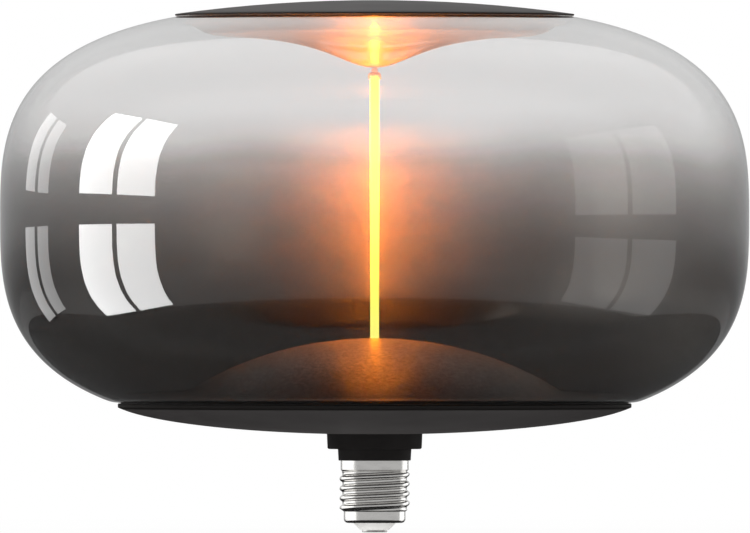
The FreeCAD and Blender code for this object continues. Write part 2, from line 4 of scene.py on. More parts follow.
import bmesh
import bpy
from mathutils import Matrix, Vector


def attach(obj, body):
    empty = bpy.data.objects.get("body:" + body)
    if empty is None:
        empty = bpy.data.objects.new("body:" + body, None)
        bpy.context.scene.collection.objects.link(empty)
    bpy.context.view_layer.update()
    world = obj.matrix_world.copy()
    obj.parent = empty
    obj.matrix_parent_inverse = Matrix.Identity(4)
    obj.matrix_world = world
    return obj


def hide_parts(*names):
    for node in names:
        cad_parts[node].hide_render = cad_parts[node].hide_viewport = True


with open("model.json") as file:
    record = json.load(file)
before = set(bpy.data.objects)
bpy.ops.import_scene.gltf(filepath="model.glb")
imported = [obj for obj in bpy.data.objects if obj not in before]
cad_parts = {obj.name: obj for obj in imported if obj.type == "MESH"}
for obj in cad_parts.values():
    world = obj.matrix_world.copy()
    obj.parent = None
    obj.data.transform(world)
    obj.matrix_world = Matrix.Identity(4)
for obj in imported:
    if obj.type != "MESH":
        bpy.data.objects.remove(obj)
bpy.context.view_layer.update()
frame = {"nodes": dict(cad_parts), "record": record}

MM = 0.001
NODES = frame["nodes"]

# Sizes of the blown globe, the same as in the solids, in millimetres

GLASS_R = 140.0
GLASS_WALL = 1.5
GLASS_IOR = 1.45
GLASS_FOOT_R = 98.0
BARREL_POWER = 3.0
CROWN_R = 72.0
CROWN_FLAT = 0.4
FUNNEL_DEPTH = 16.2
FUNNEL_SPREAD = 21.5
FUNNEL_SHARE = 0.84
FUNNEL_LIP = 11.0
FUNNEL_TIP_Z = 174.94
SEAT_Z = 48.44
DOME_RISE = 21.6
DOME_CURVE_R = 131.5
HEEL_REACH = 2.6
HEEL_MARGIN = 1.0
HEEL_HEIGHT = 4.0
DOME_FOOT_REACH = 1.2
STEM_HOLE_R = 4.0

CROWN_Z = FUNNEL_TIP_Z + GLASS_WALL + FUNNEL_DEPTH
CROWN_SHARE = (1 - (CROWN_R / GLASS_R) ** BARREL_POWER) ** (1 / BARREL_POWER)
FOOT_SHARE = (1 - (GLASS_FOOT_R / GLASS_R) ** BARREL_POWER) ** (1 / BARREL_POWER)
HALF_HEIGHT = (CROWN_Z + CROWN_FLAT - SEAT_Z) / (CROWN_SHARE + FOOT_SHARE)
EQUATOR_Z = SEAT_Z + HALF_HEIGHT * FOOT_SHARE

FUNNEL_STEPS = 48
LIP_STEPS = 12
BARREL_STEPS = 96
DOME_STEPS = 28
BEND_STEPS = 6
SEAT_STEPS = 8
BEAD_STEPS = 24
AROUND = 192


# Helpers for meshes

def finished(name, mesh_data, materials, stands_for=()):
    """Puts a bmesh into the scene as a smooth piece with its finishes, and hides the parts it stands for."""
    mesh = bpy.data.meshes.new(name)
    mesh_data.to_mesh(mesh)
    mesh_data.free()
    for material in materials:
        mesh.materials.append(material)
    piece = bpy.data.objects.new(name, mesh)
    bpy.context.scene.collection.objects.link(piece)
    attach(piece, "root")
    if stands_for:
        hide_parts(*stands_for)
    return piece


def spun(mesh_data, outline, finish_index):
    """Turns an outline of (radius, height) points in millimetres about the axis, and adds it to the mesh."""
    run = bmesh.new()
    verts = [run.verts.new((r * MM, 0.0, z * MM)) for r, z in outline]
    edges = [run.edges.new(pair) for pair in zip(verts, verts[1:])]
    bmesh.ops.spin(
        run, geom=verts + edges, cent=(0, 0, 0), axis=(0, 0, 1),
        angle=math.tau, steps=AROUND, use_merge=True,
    )
    for face in run.faces:
        face.material_index = finish_index
        face.smooth = True
    made = bpy.data.meshes.new("run")
    run.to_mesh(made)
    run.free()
    mesh_data.from_mesh(made)
    bpy.data.meshes.remove(made)


def closed(mesh_data):
    """Merges seams and poles and turns the faces outwards."""
    bmesh.ops.remove_doubles(mesh_data, verts=mesh_data.verts, dist=1e-7)
    bmesh.ops.recalc_face_normals(mesh_data, faces=mesh_data.faces)


def eased(before, after, reach):
    """Joins two runs of points that share a corner, with the corner rounded off over this reach."""
    corner = Vector(before[-1])
    kept_before = [p for p in before if (Vector(p) - corner).length > reach]
    kept_after = [p for p in after if (Vector(p) - corner).length > reach]
    start = corner + (Vector(kept_before[-1]) - corner).normalized() * reach
    end = corner + (Vector(kept_after[0]) - corner).normalized() * reach
    bend = []
    for step in range(BEND_STEPS + 1):
        t = step / BEND_STEPS
        bend.append(tuple(start * (1 - t) ** 2 + corner * 2 * t * (1 - t) + end * t * t))
    return kept_before + bend + kept_after


# The globe's outline

def funnel_dip(r):
    return (r / FUNNEL_SPREAD) ** 2 / (1 + (r / FUNNEL_SPREAD) ** 2)


def funnel_z(r, depth):
    flank = FUNNEL_DEPTH * FUNNEL_SHARE
    lip_rise = FUNNEL_DEPTH - flank * funnel_dip(CROWN_R)
    share = min(max((r - CROWN_R + FUNNEL_LIP) / FUNNEL_LIP, 0), 1)
    lip = lip_rise * share**2 * (3 - 2 * share)
    return FUNNEL_TIP_Z + flank * funnel_dip(r) + lip + GLASS_WALL - depth


def barrel_z(r, depth):
    across = r / (GLASS_R - depth)
    return EQUATOR_Z + (HALF_HEIGHT - depth) * (1 - across**BARREL_POWER) ** (1 / BARREL_POWER)


def barrel_foot_r(depth):
    down = (EQUATOR_Z - SEAT_Z - depth) / (HALF_HEIGHT - depth)
    return (GLASS_R - depth) * (1 - down**BARREL_POWER) ** (1 / BARREL_POWER)


def barrel_point(angle, depth):
    across = abs(math.cos(angle)) / (GLASS_R - depth)
    upward = abs(math.sin(angle)) / (HALF_HEIGHT - depth)
    reach = (across**BARREL_POWER + upward**BARREL_POWER) ** (-1 / BARREL_POWER)
    return reach * math.cos(angle), EQUATOR_Z + reach * math.sin(angle)


def funnel_run(depth):
    """Funnel from its tip on the axis to the crown."""
    shoulder_r = CROWN_R - FUNNEL_LIP
    radii = [shoulder_r * step / FUNNEL_STEPS for step in range(FUNNEL_STEPS)]
    radii += [shoulder_r + FUNNEL_LIP * step / LIP_STEPS for step in range(LIP_STEPS + 1)]
    return [(r, funnel_z(r, depth)) for r in radii]


def barrel_run(depth):
    """Barrel from beside the crown down to the heel."""
    join_r = CROWN_R + FUNNEL_LIP / 6
    top_angle = math.atan2(barrel_z(join_r, depth) - EQUATOR_Z, join_r)
    foot_angle = math.atan2(SEAT_Z + depth - EQUATOR_Z, barrel_foot_r(depth))
    turn = (foot_angle - top_angle) / BARREL_STEPS
    return [barrel_point(top_angle + turn * step, depth) for step in range(BARREL_STEPS + 1)]


def dome_run(depth):
    """Dome from its foot up to the hole for the stem."""
    seat_z = SEAT_Z + depth
    apex_z = SEAT_Z + DOME_RISE + depth
    curve_r = DOME_CURVE_R + depth
    foot_r = math.sqrt(curve_r**2 - (curve_r - (apex_z - seat_z)) ** 2)
    radii = [foot_r + (STEM_HOLE_R - foot_r) * step / DOME_STEPS for step in range(DOME_STEPS + 1)]
    return [(r, apex_z - curve_r + math.sqrt(curve_r**2 - r**2)) for r in radii]


def globe_runs(depth):
    """(funnel, barrel with heel, dome) for the face that lies this deep in the glass."""
    barrel = barrel_run(depth)
    dome = dome_run(depth)
    heel, foot = Vector(barrel[-1]), Vector(dome[0])
    seat = [tuple(heel.lerp(foot, step / SEAT_STEPS)) for step in range(SEAT_STEPS + 1)]
    lower = eased(eased(barrel, seat, HEEL_REACH), dome, DOME_FOOT_REACH)
    return funnel_run(depth), lower


# Helpers for materials

def new_material(name):
    material = bpy.data.materials.new(name)
    material.use_nodes = True
    material.node_tree.nodes.clear()
    return material, material.node_tree


def put(tree, kind, inputs=None, **settings):
    """Adds a node with its settings, and links or sets its inputs."""
    node = tree.nodes.new(kind)
    for name, value in settings.items():
        setattr(node, name, value)
    for key, value in (inputs or {}).items():
        if isinstance(value, bpy.types.NodeSocket):
            tree.links.new(value, node.inputs[key])
        else:
            node.inputs[key].default_value = value
    return node


def maths(tree, operation, *values):
    return put(tree, "ShaderNodeMath", dict(enumerate(values)), operation=operation).outputs[0]


def between(tree, value, from_low, from_high, to_low=0.0, to_high=1.0):
    """The value moved from one range to another."""
    inputs = {0: value, 1: from_low, 2: from_high, 3: to_low, 4: to_high}
    return put(tree, "ShaderNodeMapRange", inputs).outputs[0]


def ramp(tree, value, stops):
    """Colour ramp through (place, colour or grey) stops."""
    node = put(tree, "ShaderNodeValToRGB", {"Fac": value})
    band = node.color_ramp
    while len(band.elements) < len(stops):
        band.elements.new(0.5)
    for element, (place, colour) in zip(band.elements, stops):
        element.position = place
    for element, (place, colour) in zip(band.elements, stops):
        element.color = rgba(colour) if isinstance(colour, tuple) else rgba((colour, colour, colour))
    return node.outputs[0]


def rgba(colour):
    return (*colour, 1.0)


def object_place(tree):
    return put(tree, "ShaderNodeTexCoord").outputs["Object"]


def object_rise(tree):
    """Height on the piece, in metres."""
    return put(tree, "ShaderNodeSeparateXYZ", {0: object_place(tree)}).outputs[2]


def lamp_ray(tree):
    """1 for the rays that carry lamp light to a matt face, which pass straight through glass, else 0."""
    path = put(tree, "ShaderNodeLightPath").outputs
    return maths(tree, "MAXIMUM", path["Is Shadow Ray"], path["Is Diffuse Ray"])


def show(tree, shader):
    put(tree, "ShaderNodeOutputMaterial", {"Surface": shader})


def new_group(name, numbers, colours=(), out_numbers=(), out_colours=()):
    """(tree, inputs, outputs) of a shader node group with float and colour sockets."""
    tree = bpy.data.node_groups.new(name, "ShaderNodeTree")
    for label, value in numbers:
        socket = tree.interface.new_socket(label, in_out="INPUT", socket_type="NodeSocketFloat")
        socket.default_value = value
    for label, value in colours:
        socket = tree.interface.new_socket(label, in_out="INPUT", socket_type="NodeSocketColor")
        socket.default_value = rgba(value)
    for label in out_numbers:
        tree.interface.new_socket(label, in_out="OUTPUT", socket_type="NodeSocketFloat")
    for label in out_colours:
        tree.interface.new_socket(label, in_out="OUTPUT", socket_type="NodeSocketColor")
    return tree, tree.nodes.new("NodeGroupInput").outputs, tree.nodes.new("NodeGroupOutput").inputs


# Fine grain: a colour that drifts, a roughness that varies and a height for the bump

NOISE_REACH = (0.3, 0.7)


def make_grain():
    tree, given, made = new_group(
        "Surface Grain",
        numbers=[
            ("Grain Size", 0.4), ("Drift Size", 12.0), ("Stretch", 1.0),
            ("Low Roughness", 0.3), ("High Roughness", 0.5),
        ],
        colours=[("Light Tone", (0.5, 0.5, 0.5)), ("Dark Tone", (0.4, 0.4, 0.4))],
        out_numbers=["Roughness", "Height"], out_colours=["Tone"],
    )
    place = object_place(tree)
    squeeze = put(tree, "ShaderNodeCombineXYZ", {0: 1.0, 1: 1.0, 2: given["Stretch"]}).outputs[0]
    laid = put(tree, "ShaderNodeVectorMath", {0: place, 1: squeeze}, operation="MULTIPLY").outputs[0]
    fine_scale = maths(tree, "DIVIDE", 1 / MM, given["Grain Size"])
    broad_scale = maths(tree, "DIVIDE", 1 / MM, given["Drift Size"])
    fine = put(tree, "ShaderNodeTexNoise", {"Vector": laid, "Scale": fine_scale, "Detail": 2.0}).outputs[0]
    broad = put(tree, "ShaderNodeTexNoise", {"Vector": laid, "Scale": broad_scale, "Detail": 4.0}).outputs[0]
    blend = between(tree, broad, *NOISE_REACH)
    tone = put(
        tree, "ShaderNodeMix", {0: blend, 6: given["Light Tone"], 7: given["Dark Tone"]}, data_type="RGBA"
    ).outputs[2]
    mixed = maths(tree, "ADD", maths(tree, "MULTIPLY", fine, 0.5), maths(tree, "MULTIPLY", broad, 0.5))
    rough = between(tree, mixed, *NOISE_REACH, given["Low Roughness"], given["High Roughness"])
    tree.links.new(tone, made["Tone"])
    tree.links.new(rough, made["Roughness"])
    tree.links.new(fine, made["Height"])
    return tree


GRAIN = make_grain()


def grain_in(tree, light, dark, rough, size, drift, stretch=1.0):
    """Places the grain group with its values and gives (tone, roughness, height)."""
    node = tree.nodes.new("ShaderNodeGroup")
    node.node_tree = GRAIN
    values = {
        "Light Tone": rgba(light), "Dark Tone": rgba(dark), "Low Roughness": rough[0],
        "High Roughness": rough[1], "Grain Size": size, "Drift Size": drift, "Stretch": stretch,
    }
    for label, value in values.items():
        node.inputs[label].default_value = value
    return node.outputs["Tone"], node.outputs["Roughness"], node.outputs["Height"]


def bumped(tree, height, strength, distance):
    return put(
        tree, "ShaderNodeBump", {"Height": height, "Strength": strength, "Distance": distance * MM}
    ).outputs[0]


def grained(name, light, dark, rough, metallic=0.0, size=0.4, drift=12.0, stretch=1.0,
            strength=0.2, depth=0.05, **more):
    """A material that is the grain group on one shader, for mouldings and sheet metal."""
    material, tree = new_material(name)
    tone, roughness, height = grain_in(tree, light, dark, rough, size, drift, stretch)
    inputs = {
        "Base Color": tone, "Roughness": roughness, "Metallic": metallic,
        "Normal": bumped(tree, height, strength, depth),
    }
    inputs.update({key.replace("_", " "): value for key, value in more.items()})
    show(tree, put(tree, "ShaderNodeBsdfPrincipled", inputs).outputs[0])
    return material


# Glass of the globe: mirror tint, clear above and dark below

TINT_WAVER = 3.0
TINT_LOW_Z = 46.0
TINT_HIGH_Z = 194.0
TINT = [
    (46, 0.135), (76, 0.13), (84, 0.135), (93, 0.14), (102, 0.205),
    (111, 0.29), (120, 0.375), (129, 0.5), (137.6, 0.645), (142, 0.77),
    (147, 0.86), (156, 0.90), (180, 0.92), (188, 0.87), (194, 0.8),
]


def by_height(tree, along, stops):
    """Colour ramp up the globe through (height in millimetres, value) stops."""
    reach = TINT_HIGH_Z - TINT_LOW_Z
    return ramp(tree, along, [((z - TINT_LOW_Z) / reach, value) for z, value in stops])


def height_along(tree):
    """Height on the piece as a share of the tint's reach, with a slow waver."""
    place = object_place(tree)
    height = put(tree, "ShaderNodeSeparateXYZ", {0: place}).outputs[2]
    slow = put(tree, "ShaderNodeTexNoise", {"Vector": place, "Scale": 14.0, "Detail": 1.0}).outputs[0]
    waver = between(tree, slow, *NOISE_REACH, -TINT_WAVER * MM, TINT_WAVER * MM)
    lifted = maths(tree, "ADD", height, waver)
    return between(tree, lifted, TINT_LOW_Z * MM, TINT_HIGH_Z * MM)


def satin_film(tree, along, film):
    """(share, shader) of the mirror film that the globe carries on its gas side.

    cover and dimmed are stops by height, for the film's share and for its tone.
    """
    away = put(tree, "ShaderNodeNewGeometry").outputs["Backfacing"]
    facing = maths(tree, "SUBTRACT", 1.0, away)
    share = maths(tree, "MULTIPLY", by_height(tree, along, film["cover"]), facing)
    light = film["colour"]
    dark = tuple(part * (1 - film["contrast"]) for part in light)
    low, high = film["rough"] - FILM_ROUGH_SPREAD, film["rough"] + FILM_ROUGH_SPREAD
    tone, roughness, height = grain_in(tree, light, dark, (low, high), film["grain_size"], film["drift"])
    if "dimmed" in film:
        dim = by_height(tree, along, film["dimmed"])
        tone = put(
            tree, "ShaderNodeMix", {0: 1.0, 6: tone, 7: dim}, data_type="RGBA", blend_type="MULTIPLY"
        ).outputs[2]
    satin = put(
        tree, "ShaderNodeBsdfPrincipled",
        {"Base Color": tone, "Metallic": 1.0, "Roughness": roughness,
         "Coat Weight": film["lacquer"], "Coat Roughness": 0.1, "Coat IOR": 2.6,
         "Normal": bumped(tree, height, film["grain"], film["depth"])},
    ).outputs[0]
    return share, satin


def smoked_glass(name, film=None):
    """Clear glass under a height tint, with a satin film on its gas side if one is given."""
    material, tree = new_material(name)
    along = height_along(tree)
    tint = by_height(tree, along, TINT)
    glass = put(
        tree, "ShaderNodeBsdfPrincipled",
        {"Base Color": tint, "Roughness": 0.0, "Transmission Weight": 1.0, "IOR": GLASS_IOR},
    ).outputs[0]
    seen = glass
    if film:
        share, satin = satin_film(tree, along, film)
        seen = put(tree, "ShaderNodeMixShader", {0: share, 1: glass, 2: satin}).outputs[0]
    clear = put(tree, "ShaderNodeBsdfTransparent", {"Color": tint}).outputs[0]
    show(tree, put(tree, "ShaderNodeMixShader", {0: lamp_ray(tree), 1: seen, 2: clear}).outputs[0])
    return material


FILM_ROUGH_SPREAD = 0.02
SMOOTH_FILM = {
    "contrast": 0.15, "grain": 0.0, "grain_size": 0.35, "depth": 0.05, "drift": 25.0, "lacquer": 0.0,
}
FUNNEL_FILM = {
    **SMOOTH_FILM,
    "cover": [(46, 0.55), (176, 0.55), (179, 0.38), (184, 0.34), (188, 0.55), (191, 0.85), (194, 0.92)],
    "rough": 0.33, "colour": (0.95, 0.92, 0.86),
}
BARREL_FILM = {
    **SMOOTH_FILM,
    "cover": [
        (46, 0.96), (78, 0.95), (86, 0.85), (93, 0.6), (102, 0.42),
        (130, 0.35), (142, 0.28), (152, 0.16), (160, 0.08), (194, 0.08),
    ],
    "rough": 0.215, "colour": (0.95, 0.87, 0.78), "lacquer": 1.0,
    "dimmed": [(46, 0.2), (72, 0.2), (80, 0.3), (88, 0.6), (95, 0.9), (100, 1.0)],
}
DOME_FILM = {
    **SMOOTH_FILM,
    "cover": [(46, 0.92), (194, 0.92)],
    "rough": 0.4, "colour": (0.66, 0.61, 0.58), "contrast": 0.6,
    "dimmed": [(46, 0.25), (51.5, 0.4), (57, 0.75), (62, 1.0)],
    "grain": 1.0, "grain_size": 1.4, "drift": 1.3,
}


def make_globe():
    mesh_data = bmesh.new()
    outer_funnel, outer_lower = globe_runs(0)
    inner_funnel, inner_lower = globe_runs(GLASS_WALL)
    spun(mesh_data, outer_funnel + outer_lower, 0)
    spun(mesh_data, inner_funnel, 1)
    dome_start = next(
        i for i, (r, z) in enumerate(inner_lower)
        if r < GLASS_FOOT_R - HEEL_MARGIN and z < SEAT_Z + HEEL_HEIGHT)
    spun(mesh_data, [inner_funnel[-1]] + inner_lower[:dome_start + 1], 2)
    spun(mesh_data, inner_lower[dome_start:], 3)
    spun(mesh_data, [outer_lower[-1], inner_lower[-1]], 0)
    closed(mesh_data)
    finishes = [
        smoked_glass("globe glass"),
        smoked_glass("funnel gas side", FUNNEL_FILM),
        smoked_glass("barrel gas side", BARREL_FILM),
        smoked_glass("dome gas side", DOME_FILM),
    ]
    return finished("glass_globe_blown", mesh_data, finishes, ["glass_globe"])


make_globe()


# Lit filament

BEAD_R = 1.25
BEAD_HALF_HEIGHT = 0.9
BEAD_Z = 174.0


def make_tip_bead():
    """Small bead of the tip's silicone that centres the filament under the funnel."""
    mesh_data = bmesh.new()
    turns = [math.pi * step / BEAD_STEPS for step in range(BEAD_STEPS + 1)]
    outline = [(BEAD_R * math.sin(turn), BEAD_Z - BEAD_HALF_HEIGHT * math.cos(turn)) for turn in turns]
    spun(mesh_data, outline, 0)
    closed(mesh_data)
    return finished("tip_bead", mesh_data, [FINISHES["tip_silicone"]])


def seen_directly(tree):
    """1 for the camera's rays and for those that come straight through glass, else 0."""
    path = put(tree, "ShaderNodeLightPath").outputs
    unmirrored = maths(tree, "LESS_THAN", path["Glossy Depth"], 0.5)
    through = maths(tree, "MULTIPLY", path["Is Transmission Ray"], unmirrored)
    return maths(tree, "MAXIMUM", path["Is Camera Ray"], through)


FILAMENT_LOW_Z = 71.0
FILAMENT_HIGH_Z = 172.0
SEEN_STRENGTH = 8.5
LAMP_STRENGTH = 45.0
GLOW = (1.0, 0.25, 0.016)
GLOW_LAMPS = 16
GLOW_LAMP_R = 1.8
GLOW_LOW_Z = 74.5
GLOW_HIGH_Z = 169.0
GLOW_POWER = 0.027
NEAR_REACH = (35.0, 120.0)
NEAR_GAIN = 6.0
CLOSE_REACH = (5.0, 32.0)
CLOSE_GAIN = 9.0


def make_phosphor():
    """Amber phosphor, yellow to the eye and warm as a lamp."""
    material, tree = new_material("lit phosphor")
    tone, roughness, height = grain_in(tree, (1.0, 0.72, 0.2), (0.95, 0.6, 0.14), (0.4, 0.6), 0.5, 3.0)
    light = ramp(
        tree, between(tree, object_rise(tree), FILAMENT_LOW_Z * MM, FILAMENT_HIGH_Z * MM),
        [(0.0, (1.0, 0.9, 0.2)), (0.3, (1.0, 0.92, 0.08)),
         (0.75, (1.0, 0.95, 0.045)), (1.0, (1.0, 0.95, 0.03))])
    seen = put(
        tree, "ShaderNodeBsdfPrincipled",
        {"Base Color": tone, "Roughness": roughness,
         "Emission Color": light, "Emission Strength": SEEN_STRENGTH,
         "Normal": bumped(tree, height, 0.3, 0.1)},
    ).outputs[0]
    lamp = put(tree, "ShaderNodeEmission", {"Color": rgba(GLOW), "Strength": LAMP_STRENGTH}).outputs[0]
    lit = put(tree, "ShaderNodeMixShader", {0: seen_directly(tree), 1: lamp, 2: seen}).outputs[0]
    # The small lamps of the glow stand inside, so their light passes out
    clear = put(tree, "ShaderNodeBsdfTransparent").outputs[0]
    outward = put(tree, "ShaderNodeLightPath").outputs["Is Shadow Ray"]
    show(tree, put(tree, "ShaderNodeMixShader", {0: outward, 1: lit, 2: clear}).outputs[0])
    return material


def make_silicone_painted_glow():
    # Painted glow: the pinkish emission stands in for the filament's light in the silicone, which is no lamp
    material, tree = new_material("clear silicone")
    tone, roughness, height = grain_in(tree, (0.95, 0.9, 0.8), (0.9, 0.8, 0.65), (0.2, 0.35), 0.6, 4.0)
    show(tree, put(
        tree, "ShaderNodeBsdfPrincipled",
        {"Base Color": tone, "Roughness": roughness, "Transmission Weight": 0.3, "IOR": 1.41,
         "Emission Color": rgba((1.0, 0.36, 0.25)), "Emission Strength": 0.42,
         "Normal": bumped(tree, height, 0.1, 0.05)},
    ).outputs[0])
    return material


# Heights of the discs' turned edges, in millimetres, where near black is painted as shade next to the glass:
# where it starts, is full, fades and ends

LOW_DISC_SHADED_EDGE = (45.9, 46.2, 59.0, 60.0)
HIGH_DISC_SHADED_EDGE = (190.0, 191.0, 194.0, 194.3)
EDGE_PAINTED_SHADE = (0.012, 0.01, 0.009)
# Painted shade on the cover: the share of the satin black tone that it keeps, and the heights in millimetres
# over which it darkens
COVER_PAINTED_SHADE = 0.75
COVER_PAINTED_SHADE_START = (100.0, 110.0)


def painted_edge_shade_mask(tree, rise, edge):
    starts, full, fades, ends = (z * MM for z in edge)
    return maths(tree, "MULTIPLY", between(tree, rise, starts, full), between(tree, rise, ends, fades))


def make_satin_black():
    """Satin black lacquer on the two discs, with painted shade: darker on the cover, and near black on their
    turned edges where they meet the glass.
    """
    material, tree = new_material("satin black")
    tone, roughness, height = grain_in(
        tree, (0.08, 0.074, 0.073), (0.066, 0.061, 0.06), (0.6, 0.7), 0.25, 30.0)
    rise = object_rise(tree)
    start, end = (z * MM for z in COVER_PAINTED_SHADE_START)
    # Painted shade: above these heights the cover is made darker than the dish
    painted_cover_shade = between(tree, rise, start, end, 1.0, COVER_PAINTED_SHADE)
    tone = put(tree, "ShaderNodeVectorMath", {0: tone, 3: painted_cover_shade}, operation="SCALE").outputs[0]
    # Painted shade: the turned edges, where the discs meet the glass, are made near black
    edge = maths(tree, "MAXIMUM", painted_edge_shade_mask(tree, rise, LOW_DISC_SHADED_EDGE), painted_edge_shade_mask(tree, rise, HIGH_DISC_SHADED_EDGE))
    tone = put(tree, "ShaderNodeMix", {0: edge, 6: tone, 7: rgba(EDGE_PAINTED_SHADE)}, data_type="RGBA").outputs[2]
    show(tree, put(
        tree, "ShaderNodeBsdfPrincipled",
        {"Base Color": tone, "Roughness": roughness, "Specular IOR Level": 0.25,
         "Normal": bumped(tree, height, 0.35, 0.03)},
    ).outputs[0])
    return material


def plain_glass(name, tone_light, tone_dark):
    material, tree = new_material(name)
    tone, roughness, height = grain_in(tree, tone_light, tone_dark, (0.0, 0.04), 2.0, 8.0)
    glass = put(
        tree, "ShaderNodeBsdfPrincipled",
        {"Base Color": tone, "Roughness": roughness, "Transmission Weight": 1.0, "IOR": GLASS_IOR},
    ).outputs[0]
    clear = put(tree, "ShaderNodeBsdfTransparent", {"Color": tone}).outputs[0]
    show(tree, put(tree, "ShaderNodeMixShader", {0: lamp_ray(tree), 1: glass, 2: clear}).outputs[0])
    return material


# Board with its tracks

TRACK_GREEN = (0.05, 0.28, 0.1)


def make_board_green():
    material, tree = new_material("board green")
    tone, roughness, height = grain_in(tree, (0.02, 0.16, 0.06), (0.015, 0.12, 0.045), (0.3, 0.45), 0.3, 6.0)
    place = object_place(tree)
    tracks = put(
        tree, "ShaderNodeTexBrick",
        {"Vector": place, "Scale": 90.0, "Mortar Size": 0.06, "Mortar Smooth": 0.1},
    ).outputs["Fac"]
    colour = put(
        tree, "ShaderNodeMix", {0: tracks, 6: tone, 7: rgba(TRACK_GREEN)}, data_type="RGBA"
    ).outputs[2]
    show(tree, put(
        tree, "ShaderNodeBsdfPrincipled",
        {"Base Color": colour, "Roughness": roughness, "Normal": bumped(tree, tracks, 0.4, 0.04)},
    ).outputs[0])
    return material


# Finishes of the carried-over nodes, by the record's slots

FINISHES = {
    "satin_black": make_satin_black(),
    "collar_black": grained(
        "collar black", (0.014, 0.0115, 0.011), (0.01, 0.008, 0.0075), (0.6, 0.75), size=0.3,
        drift=9.0, strength=0.3, depth=0.04, Specular_IOR_Level=0.3),
    "nickel_sheet": grained(
        "nickel sheet", (0.88, 0.87, 0.85), (0.78, 0.77, 0.75), (0.17, 0.26), metallic=1.0, size=0.5,
        drift=7.0, stretch=3.0, strength=0.12, depth=0.03),
    "insulator_white": grained(
        "insulator white", (0.93, 0.92, 0.9), (0.86, 0.85, 0.83), (0.35, 0.5), size=0.5, drift=5.0),
    "contact_tin": grained(
        "tinned contact", (0.7, 0.69, 0.67), (0.52, 0.51, 0.49), (0.25, 0.45), metallic=1.0, size=0.6,
        drift=2.5, strength=0.3, depth=0.06),
    "seal_black": grained(
        "seal black", (0.02, 0.02, 0.02), (0.03, 0.03, 0.03), (0.5, 0.65), size=0.3, drift=8.0),
    "bond_clear": plain_glass("cured resin", (0.86, 0.86, 0.82), (0.8, 0.8, 0.75)),
    "clear_glass": plain_glass("stem glass", (0.95, 0.96, 0.96), (0.9, 0.92, 0.92)),
    "magnet_nickel": grained(
        "magnet nickel", (0.72, 0.71, 0.69), (0.62, 0.61, 0.6), (0.12, 0.22), metallic=1.0, size=0.8,
        drift=4.0),
    "bright_steel": grained(
        "bright steel", (0.6, 0.6, 0.6), (0.48, 0.48, 0.48), (0.25, 0.4), metallic=1.0, size=0.3, drift=2.0),
    "phosphor_amber": make_phosphor(),
    "tip_silicone": make_silicone_painted_glow(),
    "lead_wire": grained(
        "lead wire", (0.62, 0.52, 0.42), (0.5, 0.4, 0.3), (0.25, 0.4), metallic=1.0, size=0.3, drift=2.0),
    "wire_brown": grained(
        "brown wire", (0.16, 0.07, 0.03), (0.12, 0.05, 0.02), (0.4, 0.55), size=0.3, drift=3.0),
    "wire_blue": grained(
        "blue wire", (0.03, 0.1, 0.36), (0.02, 0.07, 0.28), (0.4, 0.55), size=0.3, drift=3.0),
    "board_green": make_board_green(),
    "moulded_black": grained(
        "moulded black", (0.03, 0.03, 0.03), (0.02, 0.02, 0.02), (0.5, 0.62), size=0.15, drift=2.0),
    "capacitor_can": grained(
        "capacitor sleeve", (0.06, 0.07, 0.1), (0.04, 0.05, 0.08), (0.3, 0.4), size=0.4, drift=3.0),
    "film_red": grained(
        "film capacitor red", (0.42, 0.05, 0.03), (0.34, 0.035, 0.02), (0.25, 0.4), size=0.5, drift=3.0),
    "ferrite": grained(
        "ferrite grey", (0.09, 0.09, 0.09), (0.06, 0.06, 0.062), (0.6, 0.75), size=0.2, drift=2.0),
    "copper_winding": grained(
        "copper winding", (0.72, 0.32, 0.14), (0.55, 0.22, 0.09), (0.25, 0.4), metallic=1.0, size=0.5,
        drift=3.0, stretch=6.0, strength=0.6, depth=0.1),
    "resistor_blue": grained(
        "resistor blue", (0.12, 0.35, 0.55), (0.09, 0.27, 0.45), (0.3, 0.45), size=0.4, drift=2.0),
}

for subpart in frame["record"]["subparts"]:
    node = NODES[subpart["node"]]
    if subpart["material_slot"] in FINISHES and subpart["node"] != "glass_globe":
        for place in node.material_slots:
            place.material = FINISHES[subpart["material_slot"]]

make_tip_bead()


# Studio: pale floor, white surround, soft lamps

WHITE = (1.0, 1.0, 1.0)
FLOOR_HALF = 0.5
FLOOR_DROP = 0.0005
FLOOR_SHARE = 0.97

# Greys of the surround as mirrors and glass see it, by how far up or down they look

FRONT_GREY = 0.5
BACK_GREYS = [(-0.10, 0.2), (-0.03, 0.3), (0.0, 0.42), (0.1, 0.6), (0.3, 0.85), (0.6, 1.0)]
BACK_START = (0.1, 0.7)
LOW_GREY = 0.02
LOW_EDGE = -0.485
LOW_EDGE_START = 0.15
LOW_EDGE_RISE = 0.38
SOFT_GREY = 0.75


def make_floor_finish():
    material, tree = new_material("pale floor")
    place = object_place(tree)
    mottle = put(tree, "ShaderNodeTexNoise", {"Vector": place, "Scale": 30.0}).outputs[0]
    pale = ramp(tree, mottle, [(0.0, 0.88), (1.0, 0.92)])
    lit = put(tree, "ShaderNodeBsdfDiffuse", {"Color": pale}).outputs[0]
    white = put(tree, "ShaderNodeEmission").outputs[0]
    share = maths(tree, "MULTIPLY", seen_directly(tree), FLOOR_SHARE)
    laid = put(tree, "ShaderNodeMixShader", {0: share, 1: lit, 2: white}).outputs[0]
    below = put(tree, "ShaderNodeNewGeometry").outputs["Backfacing"]
    clear = put(tree, "ShaderNodeBsdfTransparent").outputs[0]
    show(tree, put(tree, "ShaderNodeMixShader", {0: below, 1: laid, 2: clear}).outputs[0])
    return material


